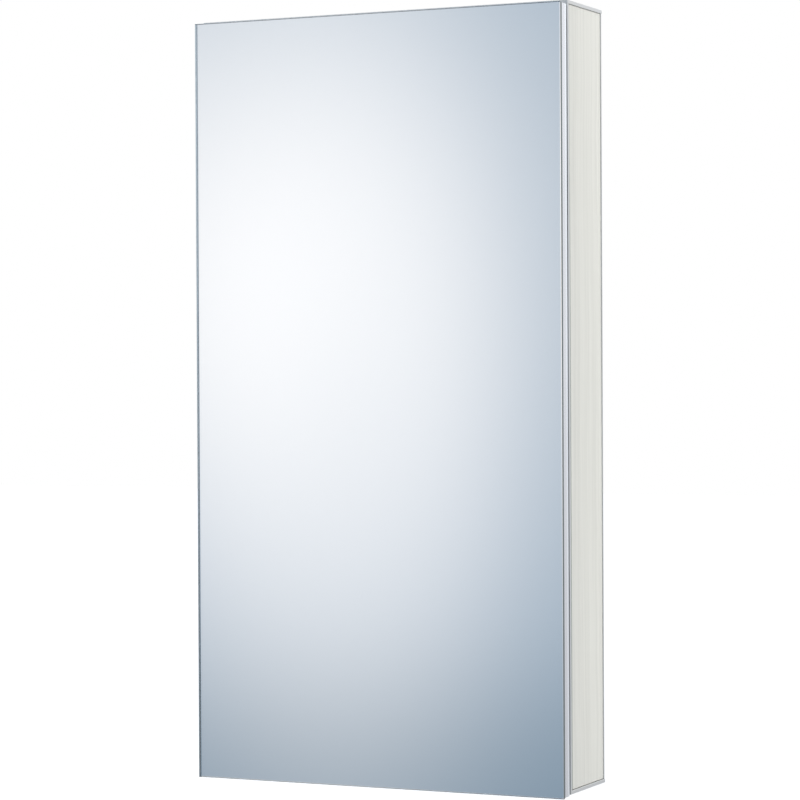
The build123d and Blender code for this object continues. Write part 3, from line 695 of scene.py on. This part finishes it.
silicone, tree, place = finish("clear_silicone")
bloom = grain(tree, place, (400.0, 400.0, 400.0), detail=2.0)
surface(tree, {
    "Base Color": mottled(tree, bloom, (0.78, 0.80, 0.80), (0.88, 0.89, 0.89)),
    "Roughness": ramp(tree, bloom, 0.3, 0.7, 0.35, 0.5),
    "IOR": 1.41,
    "Transmission Weight": 0.30,
    "Normal": bump(tree, bloom, strength=0.2, depth=0.00005),
})
sleeve_tree, given = size_inputs("pin_sleeve", ("Inner Radius", "Outer Radius", "Start", "End", "Lip"))
bore_reach = 0.02
mouth_radius = maths(sleeve_tree, "SUBTRACT", given["Outer Radius"], given["Lip"])
start_lip = maths(sleeve_tree, "ADD", given["Start"], given["Lip"])
end_lip = maths(sleeve_tree, "SUBTRACT", given["End"], given["Lip"])
near = turned(sleeve_tree, given["Start"], start_lip, mouth_radius, given["Outer Radius"], pin_sides)
middle = turned(sleeve_tree, start_lip, end_lip, given["Outer Radius"], given["Outer Radius"], pin_sides)
far = turned(sleeve_tree, end_lip, given["End"], given["Outer Radius"], mouth_radius, pin_sides)
bore = turned(
    sleeve_tree, -bore_reach, bore_reach, given["Inner Radius"], given["Inner Radius"], pin_sides)
place_each(sleeve_tree, given, cut(sleeve_tree, joined(sleeve_tree, near, middle, far), bore))
sleeves = make_pieces("pin_sleeves", sleeve_tree, pin_places, pin_facing, {
    "Inner Radius": pin_radius, "Outer Radius": 0.00325, "Start": 0.001,
    "End": 0.0087, "Lip": 0.0002}, silicone)
stand_in(sleeves, "cabinet", "shelf_pin_sleeves")

# Door frame
# Four mitred lengths of hollow bright anodised section, with painted shade next to the glass
# and painted light that leaves the back paler. Cast keys are driven into them at the corners,
# and two headless screws lock each key.


def paint_shade_and_light_by_depth(material, start, end, front_tint, back_tint):
    """Paints shade and light on a metal as tints: one tint in front of a stretch of the Y axis, another
    behind it.
    """
    tree = material.node_tree
    base = tree.nodes["Principled BSDF"].inputs["Base Color"]
    place = node(tree, "ShaderNodeTexCoord").outputs["Object"]
    depth = node(tree, "ShaderNodeSeparateXYZ", {0: place}).outputs["Y"]
    tint = blend_colours(tree, ramp(tree, depth, start, end), front_tint, back_tint)
    tree.links.new(blend_colours(tree, 1.0, base.links[0].from_socket, tint, "MULTIPLY"), base)


bright_dull = (0.925, 0.940, 0.950)
bright_clear = (0.975, 0.985, 0.995)
bright_rough = (0.20, 0.28)
upright_bright = drawn_metal(
    "upright_bright_aluminium", upright_lines, bright_dull, bright_clear, bright_rough)
level_bright = drawn_metal(
    "level_bright_aluminium", level_lines, bright_dull, bright_clear, bright_rough)
door_low, door_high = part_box("door_stile_right")
painted_shade_from = door_low[1]
painted_shade_to = painted_shade_from + 0.0011
painted_light_from = door_high[1] - 0.0050
painted_light_to = painted_light_from + 0.0012
no_tint = (1.0, 1.0, 1.0)
# Painted shade darkens the frame's front 1.1 mm next to the glass, and a second tint darkens all but the
# back 5 mm, so the back is painted paler as if lit.
for metal in (upright_bright, level_bright):
    paint_shade_and_light_by_depth(metal, painted_shade_from, painted_shade_to, front_tint=(0.40, 0.41, 0.41), back_tint=no_tint)
    paint_shade_and_light_by_depth(metal, painted_light_from, painted_light_to, front_tint=(0.850, 0.835, 0.835), back_tint=no_tint)
dress(upright_bright, "door_stile_left", "door_stile_right")
dress(level_bright, "door_rail_top", "door_rail_bottom")

cast_key, tree, place = finish("cast_key")
skin = grain(tree, place, (600.0, 600.0, 600.0), detail=4.0, roughness=0.65)
surface(tree, {
    "Base Color": mottled(tree, skin, (0.42, 0.43, 0.44), (0.56, 0.57, 0.58)),
    "Metallic": 1.0,
    "Roughness": ramp(tree, skin, 0.3, 0.7, 0.48, 0.66),
    "Normal": bump(tree, skin, strength=0.4, depth=0.0001),
})
dress(cast_key, "door_corner_keys")

grub_tree, given = size_inputs("headless_screw", (
    "Radius", "Length", "Recess Reach", "Recess Width", "Recess Depth"))
tip_height_share = 0.5
tip_radius_share = 0.6
bottom = maths(grub_tree, "MULTIPLY", given["Length"], -1.0)
tip_top = maths(grub_tree, "MULTIPLY_ADD", given["Radius"], tip_height_share, bottom)
tip_radius = maths(grub_tree, "MULTIPLY", given["Radius"], tip_radius_share)
body = turned(grub_tree, tip_top, 0.0, given["Radius"], given["Radius"])
tip = turned(grub_tree, bottom, tip_top, tip_radius, given["Radius"])
slots = cross_slots(grub_tree, given["Recess Reach"], given["Recess Width"], given["Recess Depth"])
place_each(grub_tree, given, cut(grub_tree, joined(grub_tree, body, tip), *slots))
low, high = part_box("corner_key_screws")
key_screw_near = 0.019
key_screw_far = 0.034
key_places = [
    (side * (door_high[0] - across), high[1], z_edge + inward * along)
    for side in (-1, 1)
    for z_edge, inward in ((door_low[2], 1), (door_high[2], -1))
    for across, along in ((key_screw_near, key_screw_far), (key_screw_far, key_screw_near))
]
key_screws = make_pieces("key_screws", grub_tree, key_places, [(0.0, 1.0, 0.0)] * len(key_places), {
    "Radius": 0.002, "Length": 0.007, "Recess Reach": 0.0024, "Recess Width": recess_width,
    "Recess Depth": recess_depth}, plated_steel)
stand_in(key_screws, "door", "corner_key_screws")

# Front glass
# One sheet of 4 mm float glass, silvered and painted on its back, with a narrow polished arris
# round the face. The cut edges are ground, and look dark green-grey against the silver.
front_silver = silvering("front_silver", (0.965, 0.975, 0.975))
front_glass = clear_glass("front_glass", (0.985, 0.995, 0.99), haze=0.004)
front_arris = 0.0005
front_finishes = (front_glass, front_silver, ground_edge_and_painted_glint)
front_pane = glass_sheet("front_pane", "door_mirror", front_arris, -1, front_finishes)
stand_in(front_pane, "door", "door_mirror")

# Tape, core and inner mirror
# Strips of black foam tape hold the front glass. A light honeycomb board fills the frame behind
# it, and carries a second, thinner mirror that shows when the door is open.
foam, tree, place = finish("foam_tape")
cells = node(tree, "ShaderNodeTexVoronoi", {"Vector": place, "Scale": 2200.0}).outputs["Distance"]
cell_walls = ramp(tree, cells, 0.0, 0.6)
surface(tree, {
    "Base Color": blend_colours(tree, cell_walls, (0.030, 0.030, 0.032), (0.065, 0.065, 0.068)),
    "Roughness": ramp(tree, cells, 0.0, 0.6, 0.85, 0.95),
    "Normal": bump(tree, cells, strength=0.5, depth=0.0002),
})
dress(foam, "mirror_tape")
board, tree, place = finish("fibre_board")
fibres = grain(tree, place, (900.0, 900.0, 260.0), detail=5.0, roughness=0.7)
surface(tree, {
    "Base Color": mottled(tree, fibres, (0.36, 0.27, 0.17), (0.48, 0.38, 0.26)),
    "Roughness": ramp(tree, fibres, 0.3, 0.7, 0.80, 0.92),
    "Normal": bump(tree, fibres, strength=0.4, depth=0.0002),
})
dress(board, "door_core")
inner_pane = glass_sheet("inner_pane", "door_inner_mirror", inner_arris, 1, inner_finishes)
stand_in(inner_pane, "door", "door_inner_mirror")

# Hinge
# A continuous hinge of brushed stainless steel down the left side. Its two leaves carry rolled
# knuckles by turns on one long pin, and each is held by eight countersunk screws.
stainless = drawn_metal(
    "stainless_hinge", upright_lines,
    dull=(0.50, 0.505, 0.51), bright=(0.63, 0.635, 0.64), rough=(0.26, 0.38))
dress(stainless, "hinge_leaf_cabinet", "hinge_leaf_door", "hinge_pin")
hinge_head = 0.0027
hinge_screw_count = 8
hinge_screw_sizes = countersunk_sizes(hinge_head, head_depth=0.0011, shank_radius=0.0016, length=0.0081)
for body, facing in (("cabinet", -1.0), ("door", 1.0)):
    cad_node = "hinge_screws_" + body
    low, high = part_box(cad_node)
    seat = low[1] if facing < 0 else high[1]
    x = (low[0] + high[0]) / 2
    step = (high[2] - low[2] - 2 * hinge_head) / (hinge_screw_count - 1)
    places = [(x, seat, low[2] + hinge_head + index * step) for index in range(hinge_screw_count)]
    outward = [(0.0, facing, 0.0)] * len(places)
    leaf_screws = make_pieces(
        "leaf_screws_" + body, screw_tree, places, outward, hinge_screw_sizes, plated_steel)
    stand_in(leaf_screws, body, cad_node)

# Catches and strikes
# Two magnetic catches of light grey moulded plastic on the right side frame, each with a dark
# magnet and two round-headed screws. Thin plated strikes on the door's stile meet them.
plastic, tree, place = finish("catch_plastic")
mould_texture = grain(tree, place, (1500.0, 1500.0, 1500.0))
surface(tree, {
    "Base Color": mottled(tree, mould_texture, (0.62, 0.62, 0.61), (0.69, 0.69, 0.68)),
    "Roughness": ramp(tree, mould_texture, 0.3, 0.7, 0.45, 0.6),
    "Normal": bump(tree, mould_texture, strength=0.35, depth=0.0001),
})
dress(plastic, "catch_housings")
magnet, tree, place = finish("dark_magnet")
grinding = grain(tree, place, (1800.0, 200.0, 200.0))
surface(tree, {
    "Base Color": mottled(tree, grinding, (0.055, 0.055, 0.060), (0.110, 0.110, 0.115)),
    "Metallic": 0.6,
    "Roughness": ramp(tree, grinding, 0.3, 0.7, 0.38, 0.55),
    "Normal": bump(tree, grinding, strength=0.3, depth=0.0001),
})
dress(magnet, "catch_magnets")
dress(plated_steel, "strike_plates")


def rounded(tree, middle, radius, half_height, segments, rings):
    """Ball with its middle at a height on Z, flattened or drawn out along it."""
    sockets = {"Segments": segments, "Rings": rings, "Radius": 1.0}
    ball = node(tree, "GeometryNodeMeshUVSphere", sockets).outputs["Mesh"]
    stretch = node(tree, "ShaderNodeCombineXYZ", {"X": radius, "Y": radius, "Z": half_height})
    lift = node(tree, "ShaderNodeCombineXYZ", {"Z": middle})
    return moved(tree, ball, lift.outputs[0], stretch.outputs[0])


wing_tree, given = size_inputs("round_headed_screw", (
    "Head Radius", "Head Height", "Shank Radius", "Length", "Recess Reach", "Recess Width", "Recess Depth"))
saw_size = 0.1
overlap = 0.0001
ball = rounded(wing_tree, 0.0, given["Head Radius"], given["Head Height"], 28, 16)
saw = node(wing_tree, "GeometryNodeMeshCube", {"Size": (saw_size, saw_size, saw_size)}).outputs["Mesh"]
dome = cut(wing_tree, ball, moved(wing_tree, saw, (0.0, 0.0, -saw_size / 2)))
shank_bottom = maths(wing_tree, "MULTIPLY", given["Length"], -1.0)
shank = turned(wing_tree, shank_bottom, overlap, given["Shank Radius"], given["Shank Radius"])
slots = cross_slots(
    wing_tree, given["Recess Reach"], given["Recess Width"], given["Recess Depth"], given["Head Height"])
place_each(wing_tree, given, cut(wing_tree, joined(wing_tree, dome, shank), *slots))
low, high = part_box("catch_screws")
wing_head = 0.0027
wing_head_height = 0.0019
wing_spacing = 0.045
wing_places = [
    (low[0] + wing_head_height, (low[1] + high[1]) / 2, end * (high[2] - wing_head - inset))
    for end in (-1, 1)
    for inset in (0.0, wing_spacing)
]
wing_screws = make_pieces("wing_screws", wing_tree, wing_places, [(-1.0, 0.0, 0.0)] * len(wing_places), {
    "Head Radius": wing_head, "Head Height": wing_head_height, "Shank Radius": 0.0015, "Length": 0.0065,
    "Recess Reach": 0.0032, "Recess Width": recess_width, "Recess Depth": recess_depth}, plated_steel)
stand_in(wing_screws, "cabinet", "catch_screws")

low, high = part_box("strike_screws")
strike_head = 0.0027
strike_spacing = 0.030
strike_places = [
    ((low[0] + high[0]) / 2, high[1], end * (high[2] - strike_head - inset))
    for end in (-1, 1)
    for inset in (0.0, strike_spacing)
]
strike_screws = make_pieces(
    "plate_strike_screws", screw_tree, strike_places, [(0.0, 1.0, 0.0)] * len(strike_places),
    countersunk_sizes(strike_head, head_depth=0.0012, shank_radius=0.0015, length=0.0065), plated_steel)
stand_in(strike_screws, "door", "strike_screws")

# Bumpers
# Four soft silicone dots stuck to the front flanges of the plates, near their corners. They
# take the knock when the door shuts.
bumper_tree, given = size_inputs("bumper", ("Radius", "Height", "Round"))
bumper_sides = 40
wall_top = maths(bumper_tree, "SUBTRACT", given["Height"], given["Round"])
crown = rounded(bumper_tree, wall_top, given["Radius"], given["Round"], bumper_sides, bumper_sides // 2)
button = turned(bumper_tree, 0.0, wall_top, given["Radius"], given["Radius"], bumper_sides)
place_each(bumper_tree, given, joined(bumper_tree, button, crown))
low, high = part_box("door_bumpers")
bumper_radius = 0.004
bumper_places = [
    (side * (high[0] - bumper_radius), high[1], end * (high[2] - bumper_radius))
    for side in (-1, 1)
    for end in (-1, 1)
]
bumpers = make_pieces("bumpers", bumper_tree, bumper_places, [(0.0, -1.0, 0.0)] * len(bumper_places), {
    "Radius": bumper_radius, "Height": high[1] - low[1], "Round": 0.0012}, silicone)
stand_in(bumpers, "cabinet", "door_bumpers")
